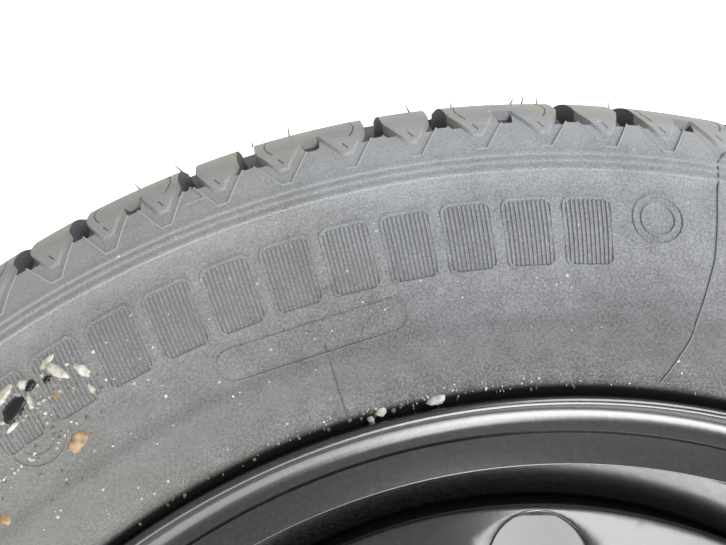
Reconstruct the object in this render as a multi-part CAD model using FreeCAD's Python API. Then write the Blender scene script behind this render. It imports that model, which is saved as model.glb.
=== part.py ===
import FreeCAD, Part
import math
import os
from FreeCAD import Placement, Rotation, Vector

os.makedirs("parts", exist_ok=True)

# Driving dimensions, in millimetres and degrees.
# The wheel lies face up: its axis is Z, and Z = 0 is the face that bolts to the hub.

# Rim, 6 inches wide and 15 inches across, with J flanges
RIM_WIDTH = 152.4
RIM_OFFSET = 40.0
BEAD_SEAT_RADIUS = 190.1
BEAD_SEAT_TAPER = 5.0
FLANGE_HEIGHT = 17.3
FLANGE_WIDTH = 12.3
FLANGE_CURL = 9.5
FLANGE_ROOT = 6.5
HUMP_HEIGHT = 0.9
WELL_DROP = 19.6
WELL_START = 37.0
WELL_END = 2.0
HUMP_PLACE = 53.5
SEAT_END = 57.0
FLANK_PLACE = 49.5
FLANK_DROP = 1.5
BACK_DROPS = (5.6, 3.6)
BACK_PLACE = 24.0
RIM_SHEET = 2.5
CREASE_RISE = 7.1
CREASE_WIDTH = 0.9
CREASE_DEPTH = 0.5

# Disc
DISC_SHEET = 3.5
HUB_BORE_RADIUS = 28.55
HUB_FLAT_RADIUS = 66.0
BOLT_CIRCLE = 100.0
BOLT_COUNT = 5
BOLT_HOLE_RADIUS = 7.6
BOLT_BOSS_RADIUS = 14.5
BOLT_BOSS_HEIGHT = 3.0
BALL_SEAT_RADIUS = 13.0
CROWN_RADIUS = 108.0
CROWN_HEIGHT = 27.0
DISC_EDGE_HEIGHT = 13.5
DISC_EDGE_BEND = 7.0
SKIRT_END = -24.0
VENT_COUNT = 15
VENT_INSET = 18.95
VENT_RADIUS = 16.5
VENT_LIP = 2.5
VENT_LIP_RISE = 0.4
VENT_FIRST_ANGLE = 90.0
FIT_GAP = 0.05

# Weld beads under the skirt
WELD_COUNT = 5
WELD_ANGLE = 42.0
WELD_LEG = 3.0
WELD_HEIGHT = 4.5

# Tyre, 185 wide, 60 in profile
TYRE_RADIUS = 301.5
TYRE_HALF_WIDTH = 94.5
CROWN_CURVE = 404.0
TREAD_EDGE = 56.0
SHOULDER_DROP = 20.5
SHOULDER_INSET = 12.5
WIDEST_DROP = 5.8
LOWER_WALL_DROP = 5.25
LOWER_WALL_CLEARANCE = 2.0
FLANGE_LEAVE_ANGLE = 55.0
BEAD_GAP = 0.15
GROOVE_DEPTH = 7.5
GROOVES = ((12.5, 21.5), (40.5, 47.5))
GROOVE_DRAFT = 1.0
CROWN_THICKNESS = 15.5
SHOULDER_THICKNESS = 18.5
SHOULDER_LINER_INSET = 4.0
UPPER_WALL_THICKNESS = 11.0
UPPER_WALL_RISE = 12.0
MIDDLE_WALL_THICKNESS = 11.5
MIDDLE_WALL_DROP = 8.0
BEAD_HEIGHT = 18.9
BEAD_THICKNESS = 3.7
BEAD_WIDTH = 18.6

# Tread pitches round the tyre: long and short ones are mixed to spread the noise
LONG_PITCH = 11.4
LONG_COUNT = 20
SHORT_COUNT = 13
TYRE_TURN = 87.4

# Shoulder teeth: block legs and sidewall steps that mesh like a zip
STEP_TOP_DROP = 15.5
STEP_TOP_HALF = 1.6
STEP_FOOT_DROP = 24.2
STEP_FOOT_HALF = 1.6
LEG_TIP_DROP = 19.2
LEG_TIP_HALF = 1.4
NOTCH_TOP_DROP = 11.0
NOTCH_HALF = 2.4
CHANNEL_DEPTH = 1.3
LATERAL_HALF = 2.4
LATERAL_END_INSET = 3.6
LATERAL_END_DEPTH = 3.0
SLOT_HALF = 1.3
SLOT_DEPTH = 6.0
SLOT_SLANT = 28.0
SLOT_INSET = 6.0
SLOT_OVERRUN = 3.0

# Valve, on the outboard flank of the drop centre
VALVE_ANGLE = -90.0
VALVE_PLACE = 0.45
VALVE_HOLE_RADIUS = 5.65
STEM_LENGTH = 34.0
STEM_THREAD_RADIUS = 3.85
STEM_BORE_RADIUS = 2.6
CORE_BORE_RADIUS = 1.6
PIN_RADIUS = 0.6
SPRING_WIRE = 0.2
SPRING_RADIUS = 1.1
SPRING_TURNS = 4
CAP_RADIUS = 4.8
CAP_CLEARANCE = 0.1

# Values worked out from the driving dimensions
CENTRE = -RIM_OFFSET
FLANGE_WALL = RIM_WIDTH / 2
FLANGE_TIP = FLANGE_WALL + FLANGE_WIDTH
CURL_CORNER = BEAD_SEAT_RADIUS + FLANGE_HEIGHT + 1.1
TIP_RADIUS = CURL_CORNER - FLANGE_WIDTH * math.tan(math.radians(6))
WELL_RADIUS = BEAD_SEAT_RADIUS - WELL_DROP
CREASE_RADIUS = BEAD_SEAT_RADIUS + CREASE_RISE
SKIRT_RADIUS = WELL_RADIUS - RIM_SHEET - FIT_GAP
VENT_CIRCLE_RADIUS = SKIRT_RADIUS - VENT_INSET
SHOULDER_END = (TYRE_RADIUS - SHOULDER_DROP, TYRE_HALF_WIDTH - SHOULDER_INSET)
WIDEST_RADIUS = (TYRE_RADIUS + BEAD_SEAT_RADIUS) / 2 - WIDEST_DROP
LOWER_WALL_RADIUS = (WIDEST_RADIUS + CURL_CORNER) / 2 - LOWER_WALL_DROP
LOWER_WALL = (LOWER_WALL_RADIUS, FLANGE_TIP + LOWER_WALL_CLEARANCE)
LINER_RADIUS = TYRE_RADIUS - CROWN_THICKNESS
LINER_POINTS = (
    (TYRE_RADIUS - SHOULDER_THICKNESS, TREAD_EDGE - SHOULDER_LINER_INSET),
    (WIDEST_RADIUS + UPPER_WALL_RISE, TYRE_HALF_WIDTH - UPPER_WALL_THICKNESS),
    (WIDEST_RADIUS - MIDDLE_WALL_DROP, TYRE_HALF_WIDTH - MIDDLE_WALL_THICKNESS),
    (BEAD_SEAT_RADIUS + BEAD_HEIGHT, FLANGE_WALL - BEAD_THICKNESS),
)
BEAD_TOE = FLANGE_WALL - BEAD_WIDTH
STEP_TOP = TYRE_RADIUS - STEP_TOP_DROP
STEP_FOOT = TYRE_RADIUS - STEP_FOOT_DROP
LEG_TIP = TYRE_RADIUS - LEG_TIP_DROP
NOTCH_TOP = TYRE_RADIUS - NOTCH_TOP_DROP
LATERAL_START = sum(GROOVES[1]) / 2
LATERAL_END = SHOULDER_END[1] - LATERAL_END_INSET
SHORT_PITCH = (360 - LONG_COUNT * LONG_PITCH) / SHORT_COUNT
AXIS = Vector(0, 0, 1)
ORIGIN = Vector(0, 0, 0)


def profile_point(radius, across):
    """A point of a turned profile, given by its radius and its distance from the rim's middle."""
    return Vector(radius, 0, CENTRE + across)


def seat_radius(across):
    """Radius of the tapered bead seat at a distance from the rim's middle."""
    return BEAD_SEAT_RADIUS - (FLANGE_WALL - across) * math.tan(math.radians(BEAD_SEAT_TAPER))


def rounded_path(points, radii):
    """Join points by straight lines and round each inner corner to its radius."""
    edges = []
    start = points[0]
    for before, corner, after, radius in zip(points, points[1:], points[2:], radii):
        back = (before - corner).normalize()
        onward = (after - corner).normalize()
        half = back.getAngle(onward) / 2
        inward = (back + onward).normalize()
        first = corner + back * (radius / math.tan(half))
        last = corner + onward * (radius / math.tan(half))
        middle = corner + inward * (radius / math.sin(half) - radius)
        if (first - start).Length > 0.001:
            edges.append(Part.makeLine(start, first))
        edges.append(Part.Arc(first, middle, last).toShape())
        start = last
    edges.append(Part.makeLine(start, points[-1]))
    return Part.Wire(edges)


def arc_chain(start, heading, points):
    """Run arcs through the points, each one leaving the last without a kink."""
    edges = []
    for end in points:
        chord = end - start
        side = Vector(-chord.z, 0, chord.x).normalize()
        lean = math.atan2(heading.dot(side), heading.dot(chord) / chord.Length)
        middle = start + chord / 2 + side * (chord.Length / 2 * math.tan(lean / 2))
        edges.append(Part.Arc(start, middle, end).toShape())
        heading = Rotation(Vector(0, 1, 0), math.degrees(2 * lean)).multVec(heading)
        start = end
    return edges


def outline(points):
    """A flat face with straight edges between the points."""
    return Part.Face(Part.makePolygon(list(points) + [points[0]]))


def turned(face, angle=360):
    """Turn a profile about the wheel's axis."""
    return face.revolve(ORIGIN, AXIS, angle)


def spun(shape, angle):
    """A copy of a shape, turned about the wheel's axis."""
    copy = shape.copy()
    copy.rotate(ORIGIN, AXIS, angle)
    return copy


def polar(angle, radius, height=0.0):
    """A point at an angle in degrees round the wheel's axis."""
    turn = math.radians(angle)
    return Vector(radius * math.cos(turn), radius * math.sin(turn), height)


def save(name, shape):
    """Write one node to its own file."""
    shape.exportStep("parts/" + name + ".step")


# Rim

def rim_path():
    """The tyre side of the rolled rim, from the outboard flange's edge to the inboard one."""
    flank_top = profile_point(BEAD_SEAT_RADIUS - FLANK_DROP, FLANK_PLACE)
    flank_foot = profile_point(WELL_RADIUS, WELL_START)
    hump = seat_radius(HUMP_PLACE) + HUMP_HEIGHT
    points = [
        profile_point(TIP_RADIUS, FLANGE_TIP),
        profile_point(CURL_CORNER, FLANGE_WALL),
        profile_point(BEAD_SEAT_RADIUS, FLANGE_WALL),
        profile_point(seat_radius(SEAT_END), SEAT_END),
        profile_point(hump, HUMP_PLACE),
        flank_top,
        flank_foot,
        profile_point(WELL_RADIUS, WELL_END),
        profile_point(BEAD_SEAT_RADIUS - BACK_DROPS[0], -BACK_PLACE),
        profile_point(BEAD_SEAT_RADIUS - BACK_DROPS[1], -FLANK_PLACE),
        profile_point(hump, -HUMP_PLACE),
        profile_point(seat_radius(SEAT_END), -SEAT_END),
        profile_point(BEAD_SEAT_RADIUS, -FLANGE_WALL),
        profile_point(CURL_CORNER, -FLANGE_WALL),
        profile_point(TIP_RADIUS, -FLANGE_TIP),
    ]
    radii = [FLANGE_CURL, FLANGE_ROOT, 4, 4, 4, 6, 8, 12, 4, 4, 4, FLANGE_ROOT, FLANGE_CURL]
    return rounded_path(points, radii), flank_top, flank_foot


def valve_frame(flank_top, flank_foot):
    """Place of the valve: its own Z runs outboard, square to the flank, from the flank's open face."""
    along = (flank_foot - flank_top).normalize()
    outward = Vector(along.z, 0, -along.x)
    seat = flank_top + (flank_foot - flank_top) * VALVE_PLACE + outward * RIM_SHEET
    turn = Rotation(AXIS, VALVE_ANGLE)
    return Placement(turn.multVec(seat), turn.multiply(Rotation(AXIS, outward)))


def make_rim(path, valve_place):
    """Rolled steel band of one thickness, with the valve hole and the flange's crease."""
    rim = turned(path.makeOffset2D(-RIM_SHEET, join=0, fill=True, openResult=True))
    hole = Part.makeCylinder(VALVE_HOLE_RADIUS, 12, Vector(0, 0, -8))
    hole.Placement = valve_place
    wall = FLANGE_WALL + RIM_SHEET
    crease = outline([
        profile_point(CREASE_RADIUS - CREASE_WIDTH / 2, wall + 0.2),
        profile_point(CREASE_RADIUS, wall - CREASE_DEPTH),
        profile_point(CREASE_RADIUS + CREASE_WIDTH / 2, wall + 0.2),
    ])
    return rim.cut([hole, turned(crease)])


# Disc

def disc_path():
    """The outboard side of the pressed disc, from the centre bore to the skirt's end."""
    points = [
        Vector(HUB_BORE_RADIUS, 0, DISC_SHEET),
        Vector(HUB_FLAT_RADIUS, 0, DISC_SHEET),
        Vector(HUB_FLAT_RADIUS + 19, 0, CROWN_HEIGHT - 1.5),
        Vector(CROWN_RADIUS, 0, CROWN_HEIGHT),
        Vector(SKIRT_RADIUS, 0, DISC_EDGE_HEIGHT),
        Vector(SKIRT_RADIUS, 0, SKIRT_END),
    ]
    return rounded_path(points, [8, 12, 40, DISC_EDGE_BEND])


def vent_slope():
    """Slope of the disc's outer cone, which holds the vent holes, in degrees."""
    fall = CROWN_HEIGHT - DISC_EDGE_HEIGHT
    return math.degrees(math.atan2(fall, SKIRT_RADIUS - CROWN_RADIUS))


def vent_centre():
    """Middle of a vent hole on the disc's outboard side."""
    along = (VENT_CIRCLE_RADIUS - CROWN_RADIUS) / (SKIRT_RADIUS - CROWN_RADIUS)
    height = CROWN_HEIGHT + (DISC_EDGE_HEIGHT - CROWN_HEIGHT) * along
    return Vector(VENT_CIRCLE_RADIUS, 0, height)


def vent_cutter():
    """A vent hole square to the cone, with the rounded lip of its outboard edge."""
    lip_radius = VENT_RADIUS + VENT_LIP
    points = [
        Vector(0, 0, -8),
        Vector(VENT_RADIUS, 0, -8),
        Vector(VENT_RADIUS, 0, VENT_LIP_RISE - VENT_LIP),
        Vector(lip_radius, 0, VENT_LIP_RISE),
        Vector(lip_radius, 0, 2),
        Vector(0, 0, 2),
    ]
    bulge = VENT_LIP * (1 - math.sqrt(0.5))
    middle = Vector(VENT_RADIUS + bulge, 0, VENT_LIP_RISE - bulge)
    edges = [Part.makeLine(points[0], points[1])]
    edges.append(Part.makeLine(points[1], points[2]))
    edges.append(Part.Arc(points[2], middle, points[3]).toShape())
    edges.append(Part.makeLine(points[3], points[4]))
    edges.append(Part.makeLine(points[4], points[5]))
    edges.append(Part.makeLine(points[5], points[0]))
    cutter = turned(Part.Face(Part.Wire(edges)))
    cutter.Placement = Placement(vent_centre(), Rotation(Vector(0, 1, 0), vent_slope()))
    return cutter


def bolt_boss():
    """Raised pad that carries one bolt's ball seat."""
    boss = Part.makeCone(BOLT_BOSS_RADIUS + 1.5, BOLT_BOSS_RADIUS, BOLT_BOSS_HEIGHT)
    boss.translate(Vector(BOLT_CIRCLE / 2, 0, DISC_SHEET))
    return boss


def bolt_cutter():
    """Bolt hole with its ball seat."""
    hole = Part.makeCylinder(BOLT_HOLE_RADIUS, 20, Vector(BOLT_CIRCLE / 2, 0, -5))
    seat_height = math.sqrt(BALL_SEAT_RADIUS ** 2 - BOLT_HOLE_RADIUS ** 2)
    ball = Part.makeSphere(BALL_SEAT_RADIUS, Vector(BOLT_CIRCLE / 2, 0, seat_height + 1.5))
    return hole.fuse(ball)


def make_disc():
    """Pressed steel disc with bolt seats, bolt holes and vent holes."""
    disc = turned(disc_path().makeOffset2D(-DISC_SHEET, join=0, fill=True, openResult=True))
    turns = [360 / BOLT_COUNT * i + 90 for i in range(BOLT_COUNT)]
    disc = disc.fuse([spun(bolt_boss(), turn) for turn in turns])
    cutters = [spun(bolt_cutter(), turn) for turn in turns]
    for i in range(VENT_COUNT):
        cutters.append(spun(vent_cutter(), VENT_FIRST_ANGLE + 360 / VENT_COUNT * i))
    return disc.cut(cutters)


def make_welds():
    """Weld beads between the skirt's end and the rim's drop centre."""
    well = WELL_RADIUS - RIM_SHEET
    bead = turned(outline([
        Vector(well, 0, SKIRT_END),
        Vector(well - WELD_LEG, 0, SKIRT_END),
        Vector(well, 0, SKIRT_END - WELD_HEIGHT),
    ]), WELD_ANGLE)
    return Part.makeCompound([spun(bead, 360 / WELD_COUNT * i) for i in range(WELD_COUNT)])


# Tyre

def crown_point(across, depth=0.0):
    """A point on the tread's crown, or below it."""
    radius = TYRE_RADIUS - CROWN_CURVE + math.sqrt(CROWN_CURVE ** 2 - across ** 2)
    return profile_point(radius - depth, across)


def crown_arc(start, end):
    """Stretch of the crown between two grooves."""
    middle = crown_point((start + end) / 2)
    return Part.Arc(crown_point(start), middle, crown_point(end)).toShape()


def tread_edges():
    """Outboard half of the tread, with its grooves that run round the tyre."""
    edges = []
    start = 0.0
    for inner, outer in GROOVES:
        edges.append(crown_arc(start, inner))
        floor_in = crown_point(inner + GROOVE_DRAFT, GROOVE_DEPTH)
        floor_out = crown_point(outer - GROOVE_DRAFT, GROOVE_DEPTH)
        edges.append(Part.makeLine(crown_point(inner), floor_in))
        edges.append(Part.makeLine(floor_in, floor_out))
        edges.append(Part.makeLine(floor_out, crown_point(outer)))
        start = outer
    edges.append(crown_arc(start, TREAD_EDGE))
    return edges


def wall_points():
    """Points that the shoulder and the sidewall run through, from the tread's edge to the flange."""
    leave = math.radians(FLANGE_LEAVE_ANGLE)
    reach = FLANGE_CURL + BEAD_GAP
    curl_height = FLANGE_WALL + FLANGE_CURL
    curl_middle = CURL_CORNER - FLANGE_CURL * math.tan(math.radians(48))
    leave_point = profile_point(curl_middle + reach * math.sin(leave), curl_height - reach * math.cos(leave))
    return [
        crown_point(TREAD_EDGE),
        profile_point(*SHOULDER_END),
        profile_point(WIDEST_RADIUS, TYRE_HALF_WIDTH),
        profile_point(*LOWER_WALL),
        leave_point,
    ], curl_middle


def tread_heading():
    """Direction of the crown at the tread's edge."""
    lean = math.asin(TREAD_EDGE / CROWN_CURVE)
    return Vector(-math.sin(lean), 0, math.cos(lean))


def bead_edges(leave_point, curl_middle):
    """The bead: along the flange's curl and wall, round the heel and over the bead seat to the toe."""
    reach = FLANGE_CURL + BEAD_GAP
    wall = FLANGE_WALL - BEAD_GAP
    curl_height = FLANGE_WALL + FLANGE_CURL
    turn = math.radians(FLANGE_LEAVE_ANGLE / 2)
    middle = profile_point(curl_middle + reach * math.sin(turn), curl_height - reach * math.cos(turn))
    wall_top = profile_point(curl_middle, wall)
    heel = profile_point(seat_radius(wall) + BEAD_GAP, wall)
    toe = profile_point(seat_radius(BEAD_TOE) + BEAD_GAP, BEAD_TOE)
    inside = profile_point(LINER_POINTS[-1][0], LINER_POINTS[-1][1])
    edges = [Part.Arc(leave_point, middle, wall_top).toShape()]
    edges += rounded_path([wall_top, heel, toe, inside], [FLANGE_ROOT, 1.5]).Edges
    return edges


def tyre_section():
    """Closed section of the tyre: tread, sidewalls, beads and inner liner."""
    points, curl_middle = wall_points()
    half = tread_edges()
    half += arc_chain(points[0], tread_heading(), points[1:])
    half += bead_edges(points[-1], curl_middle)
    liner = [profile_point(*place) for place in LINER_POINTS]
    half += arc_chain(profile_point(LINER_RADIUS, 0), AXIS, liner)
    other = [edge.mirror(profile_point(0, 0), AXIS) for edge in half]
    return Part.Face(Part.Wire(Part.__sortEdges__(half + other)))


def shoulder_layer(inner, outer):
    """Skin of the shoulder between two depths, as a profile face."""
    points, curl_middle = wall_points()
    arcs = arc_chain(points[0], tread_heading(), points[1:3])
    skins = []
    for depth in (inner, outer):
        skin = []
        for arc in arcs:
            centre = arc.Curve.Center
            ends = [arc.valueAt(arc.FirstParameter), arc.valueAt(arc.LastParameter)]
            middle = arc.valueAt((arc.FirstParameter + arc.LastParameter) / 2)
            moved = [place - (place - centre).normalize() * depth for place in (ends[0], middle, ends[1])]
            skin.append(Part.Arc(*moved).toShape())
        skins.append(skin)
    ends = [[skin[0].Vertexes[0].Point, skin[-1].Vertexes[-1].Point] for skin in skins]
    joins = [Part.makeLine(ends[0][0], ends[1][0]), Part.makeLine(ends[0][1], ends[1][1])]
    return Part.Face(Part.Wire(Part.__sortEdges__(skins[0] + skins[1] + joins)))


def degrees_of(length, radius):
    """Angle of a short length round the tyre."""
    return math.degrees(length / radius)


def channel_outline(pitch):
    """The zip-like channel between block legs and sidewall steps over one pitch, seen along the axis."""
    lower = []
    upper = []
    for step in (-pitch / 3, 0.0, pitch / 3):
        foot = pitch / 6 - degrees_of(STEP_FOOT_HALF, STEP_FOOT)
        top = degrees_of(STEP_TOP_HALF, STEP_TOP)
        tip = pitch / 6 - degrees_of(LEG_TIP_HALF, LEG_TIP)
        notch = degrees_of(NOTCH_HALF, NOTCH_TOP)
        lower += [(step - foot, STEP_FOOT), (step - top, STEP_TOP), (step + top, STEP_TOP)]
        lower += [(step + foot, STEP_FOOT)]
        upper += [(step - tip, LEG_TIP), (step - notch, NOTCH_TOP), (step + notch, NOTCH_TOP)]
        upper += [(step + tip, LEG_TIP)]
    past = pitch / 2 + 0.4
    ring = [(-past, STEP_FOOT)] + lower + [(past, STEP_FOOT), (past, LEG_TIP)]
    ring += upper[::-1] + [(-past, LEG_TIP)]
    return outline([polar(angle, radius, CENTRE) for angle, radius in ring])


def lateral_groove():
    """Groove across the shoulder, from the outer tread groove to the sidewall step, at angle zero."""
    start = crown_point(LATERAL_START, GROOVE_DEPTH)
    end = profile_point(STEP_TOP - LATERAL_END_DEPTH * 0.67, LATERAL_END - LATERAL_END_DEPTH * 0.74)
    brow = end + Vector(0.67, 0, 0.74) * 10
    sky = TYRE_RADIUS + 5
    face = outline([start, end, brow, Vector(sky, 0, brow.z), Vector(sky, 0, start.z)])
    face.translate(Vector(0, -LATERAL_HALF, 0))
    return face.extrude(Vector(0, 2 * LATERAL_HALF, 0))


def rib_slot():
    """Slanted blind slot in the rib between the two tread grooves, at angle zero."""
    inner = GROOVES[0][1] + SLOT_INSET
    outer = GROOVES[1][0] + SLOT_OVERRUN
    radius = TYRE_RADIUS - SLOT_DEPTH
    slot = Part.makeBox(SLOT_DEPTH + 6, 2 * SLOT_HALF, outer - inner)
    slot.translate(Vector(radius, -SLOT_HALF, CENTRE + inner))
    slot.rotate(profile_point(radius, outer), Vector(1, 0, 0), SLOT_SLANT)
    return slot


def tread_cutters(pitch):
    """Everything that is cut into the outboard half of one pitch."""
    channel = channel_outline(pitch).extrude(AXIS * (TYRE_HALF_WIDTH + 30))
    layer = spun(turned(shoulder_layer(CHANNEL_DEPTH, -2), pitch + 2), -pitch / 2 - 1)
    cutters = [channel.common(layer)]
    for step in (-pitch / 3, pitch / 3):
        cutters.append(spun(lateral_groove(), step))
    cutters.append(spun(rib_slot(), pitch / 4))
    cutters.append(spun(rib_slot(), -pitch / 4))
    return cutters


def pitch_faces(section, pitch):
    """Skin of one pitch of the tyre, without the two faces where it meets its neighbours."""
    block = spun(turned(section, pitch), -pitch / 2)
    cutters = tread_cutters(pitch)
    mirrored = [cutter.mirror(profile_point(0, 0), AXIS) for cutter in cutters]
    block = block.cut(cutters + mirrored)
    faces = []
    for face in block.Faces:
        middle = face.CenterOfMass
        angle = math.degrees(math.atan2(middle.y, middle.x))
        flat = isinstance(face.Surface, Part.Plane)
        if not (flat and abs(abs(angle) - pitch / 2) < 0.01):
            faces.append(face)
    return faces


def pitch_sequence():
    """Order of long (True) and short (False) pitches, spread evenly round the tyre."""
    total = LONG_COUNT + SHORT_COUNT
    return [(i + 1) * LONG_COUNT // total > i * LONG_COUNT // total for i in range(total)]


def make_tyre():
    """The moulded tyre, put together from long and short pitches."""
    section = tyre_section()
    skins = {True: pitch_faces(section, LONG_PITCH), False: pitch_faces(section, SHORT_PITCH)}
    faces = []
    angle = TYRE_TURN
    for long in pitch_sequence():
        pitch = LONG_PITCH if long else SHORT_PITCH
        angle -= pitch / 2
        faces += [spun(face, angle) for face in skins[long]]
        angle -= pitch / 2
    sewn = Part.makeCompound(faces)
    sewn.sewShape()
    return Part.Solid(sewn.Shells[0])


# Valve, modelled along its own Z from the rim's open face, then put in place

def lathe(points):
    """Turn a closed outline of radius and height about the valve's own axis."""
    return turned(outline([Vector(radius, 0, height) for radius, height in points]))


def tube(outer, inner, start, end):
    """A plain tube between two heights."""
    return lathe([(inner, start), (outer, start), (outer, end), (inner, end)])


def make_valve_body():
    """Snap-in rubber body: a head inside the tyre, a neck in the hole and a tapered boot."""
    return lathe([
        (3.2, -8.5), (5.0, -8.5), (8.0, -4.0), (8.0, -2.7), (5.6, -2.6), (5.6, 0.1),
        (6.9, 0.2), (7.1, 1.5), (6.6, 3.0), (5.0, 16.0), (4.9, 21.0), (3.2, 21.0),
    ])


def make_stem():
    """Brass stem, bonded inside the rubber, with a bore for the core."""
    return lathe([
        (1.4, -8.5), (3.2, -8.5), (3.2, 21.2), (STEM_THREAD_RADIUS, 21.2),
        (STEM_THREAD_RADIUS, STEM_LENGTH - 0.6), (STEM_THREAD_RADIUS - 0.6, STEM_LENGTH),
        (STEM_BORE_RADIUS, STEM_LENGTH), (STEM_BORE_RADIUS, 10.0), (1.4, 8.0),
    ])


def make_core_housing():
    """Core body: a threaded top with a bridge, and a barrel whose floor is the seat."""
    housing = lathe([
        (0.75, 16.5), (2.1, 16.5), (2.1, 24.9), (2.5, 24.9), (2.5, 33.0),
        (CORE_BORE_RADIUS, 33.0), (CORE_BORE_RADIUS, 18.0), (0.75, 18.0),
    ])
    bridge = Part.makeBox(1.8, 3.8, 1.5, Vector(-0.9, -1.9, 31.0))
    bridge = bridge.cut(Part.makeCylinder(0.75, 4, Vector(0, 0, 30)))
    return housing.fuse(bridge)


def make_core_pin():
    """Pin with the spring's collar and the cup that carries the seal."""
    return lathe([
        (0, 13.5), (PIN_RADIUS, 13.5), (PIN_RADIUS, 14.4), (1.7, 14.4), (1.7, 15.4), (PIN_RADIUS, 15.4),
        (PIN_RADIUS, 23.9), (1.35, 23.9), (1.35, 24.7), (PIN_RADIUS, 24.7), (PIN_RADIUS, 33.2), (0, 33.2),
    ])


def make_core_spring():
    """Coil spring between the barrel's floor and the pin's collar."""
    foot = 18.0 + SPRING_WIRE + 0.05
    length = 23.9 - SPRING_WIRE - 0.05 - foot
    path = Part.makeHelix(length / SPRING_TURNS, length, SPRING_RADIUS)
    circle = Part.makeCircle(SPRING_WIRE, Vector(SPRING_RADIUS, 0, 0), Vector(0, 1, 0))
    spring = Part.Wire(path).makePipeShell([Part.Wire(circle)], True, True)
    spring.translate(Vector(0, 0, foot))
    return spring


def make_cap():
    """Screw-on cap, with a groove round its foot."""
    bore = STEM_THREAD_RADIUS + CAP_CLEARANCE
    return lathe([
        (bore, 22.5), (CAP_RADIUS, 22.5), (CAP_RADIUS, 24.0), (CAP_RADIUS - 0.4, 24.3),
        (CAP_RADIUS - 0.4, 35.6), (CAP_RADIUS - 1.2, 36.6), (0, 36.6), (0, 35.3), (bore, 35.3),
    ])


path, flank_top, flank_foot = rim_path()
valve_place = valve_frame(flank_top, flank_foot)

save("rim", make_rim(path, valve_place))
save("disc", make_disc())
save("disc_welds", make_welds())
save("tyre", make_tyre())

valve_parts = {
    "valve_body": make_valve_body(),
    "valve_stem": make_stem(),
    "core_housing": make_core_housing(),
    "core_gasket": tube(2.55, 2.1, 22.4, 24.9),
    "core_pin": make_core_pin(),
    "core_seal": tube(1.6, PIN_RADIUS + 0.05, 15.4, 16.4),
    "core_spring": make_core_spring(),
    "valve_cap": make_cap(),
    "cap_seal": tube(3.6, 1.0, 34.3, 35.3),
}
for name, shape in valve_parts.items():
    shape.Placement = valve_place.multiply(shape.Placement)
    save(name, shape)
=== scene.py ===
import bmesh
import bpy
import math
import random
from mathutils import Matrix, Vector


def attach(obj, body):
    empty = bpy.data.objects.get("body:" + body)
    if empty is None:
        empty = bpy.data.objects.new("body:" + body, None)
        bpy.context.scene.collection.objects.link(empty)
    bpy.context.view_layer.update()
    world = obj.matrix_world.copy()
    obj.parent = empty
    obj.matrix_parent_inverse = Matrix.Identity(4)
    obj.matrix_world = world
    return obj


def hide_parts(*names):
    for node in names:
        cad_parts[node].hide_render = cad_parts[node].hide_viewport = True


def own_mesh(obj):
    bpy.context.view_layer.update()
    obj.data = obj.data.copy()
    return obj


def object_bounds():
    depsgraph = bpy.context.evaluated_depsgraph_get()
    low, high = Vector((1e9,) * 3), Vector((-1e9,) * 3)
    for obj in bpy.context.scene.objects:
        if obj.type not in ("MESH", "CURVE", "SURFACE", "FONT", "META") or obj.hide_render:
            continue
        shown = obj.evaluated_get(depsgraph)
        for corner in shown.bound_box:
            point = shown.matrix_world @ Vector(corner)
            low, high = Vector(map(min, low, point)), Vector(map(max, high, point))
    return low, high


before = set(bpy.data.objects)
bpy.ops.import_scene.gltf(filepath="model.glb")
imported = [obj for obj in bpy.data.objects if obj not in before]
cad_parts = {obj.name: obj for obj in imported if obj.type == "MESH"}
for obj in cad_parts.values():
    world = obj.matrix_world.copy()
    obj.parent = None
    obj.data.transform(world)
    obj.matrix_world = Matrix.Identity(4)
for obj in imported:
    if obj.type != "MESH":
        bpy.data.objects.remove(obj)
cad_box = [list(corner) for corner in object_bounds()]

MM = 0.001

# Sizes of the wheel in millimetres: radius from the axis, and across from the rim's middle. They follow
# the part, apart from the rim's open side, the drop centre's outer corner and the disc's edge, which
# follow the photo
RIM_MIDDLE = -40.0
FLANGE_WALL = 76.2
FLANGE_TIP = 88.5
FLANGE_CURL = 9.5
FLANGE_ROOT = 6.5
OPEN_ROOT = 0.4
LIP_ROUND = 1.0
OPEN_CURL = 6.3
CURL_CORNER = 209.0
CURL_MIDDLE = CURL_CORNER - FLANGE_CURL * math.tan(math.radians(48))
TIP_RADIUS = 208.2
BEAD_SEAT_RADIUS = 190.1
SEAT_TAPER = math.tan(math.radians(5))
SEAT_END = 57.0
HUMP_MIDDLE = 53.5
HUMP_RISE = 0.9
HUMP_END = 49.5
HUMP_DROP = 1.5
WELL_RADIUS = 170.5
WELL_OUTER = 38.4
WELL_INNER = 2.0
INNER_SLOPE = ((184.5, -24.0), (186.5, -49.5))
RIM_ROUNDING = (4, 4, 4, 6, 8, 12, 4, 4, 4)
RIM_SHEET = 2.5
CREASE_RADIUS = 197.2
CREASE_HALF = 0.45
CREASE_DEPTH = 0.5

TYRE_RADIUS = 301.4
CROWN_CURVE = 404.0
TREAD_EDGE = 56.0
SHOULDER_END = (281.0, 82.0)
WIDEST = (240.0, 94.5)
LOWER_WALL = (219.0, 90.5)
FLANGE_LEAVE_ANGLE = 55.0
GROOVE_DEPTH = 7.5
GROOVES = ((12.5, 21.5), (40.5, 47.5))
GROOVE_DRAFT = 1.0
TOE_DROP = 1.6
TOE_ACROSS = 57.6
TOE_ROUND = 1.5

# Inside of the tyre, from the bead to the middle
LINER_FOOT = (209.0, 72.5)
LINER = (
    (232.0, 83.0), (243.0, 83.9), (252.0, 83.5), (265.0, 78.5), (276.0, 68.5), (283.0, 52.0), (286.0, 0.0),
)

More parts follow.
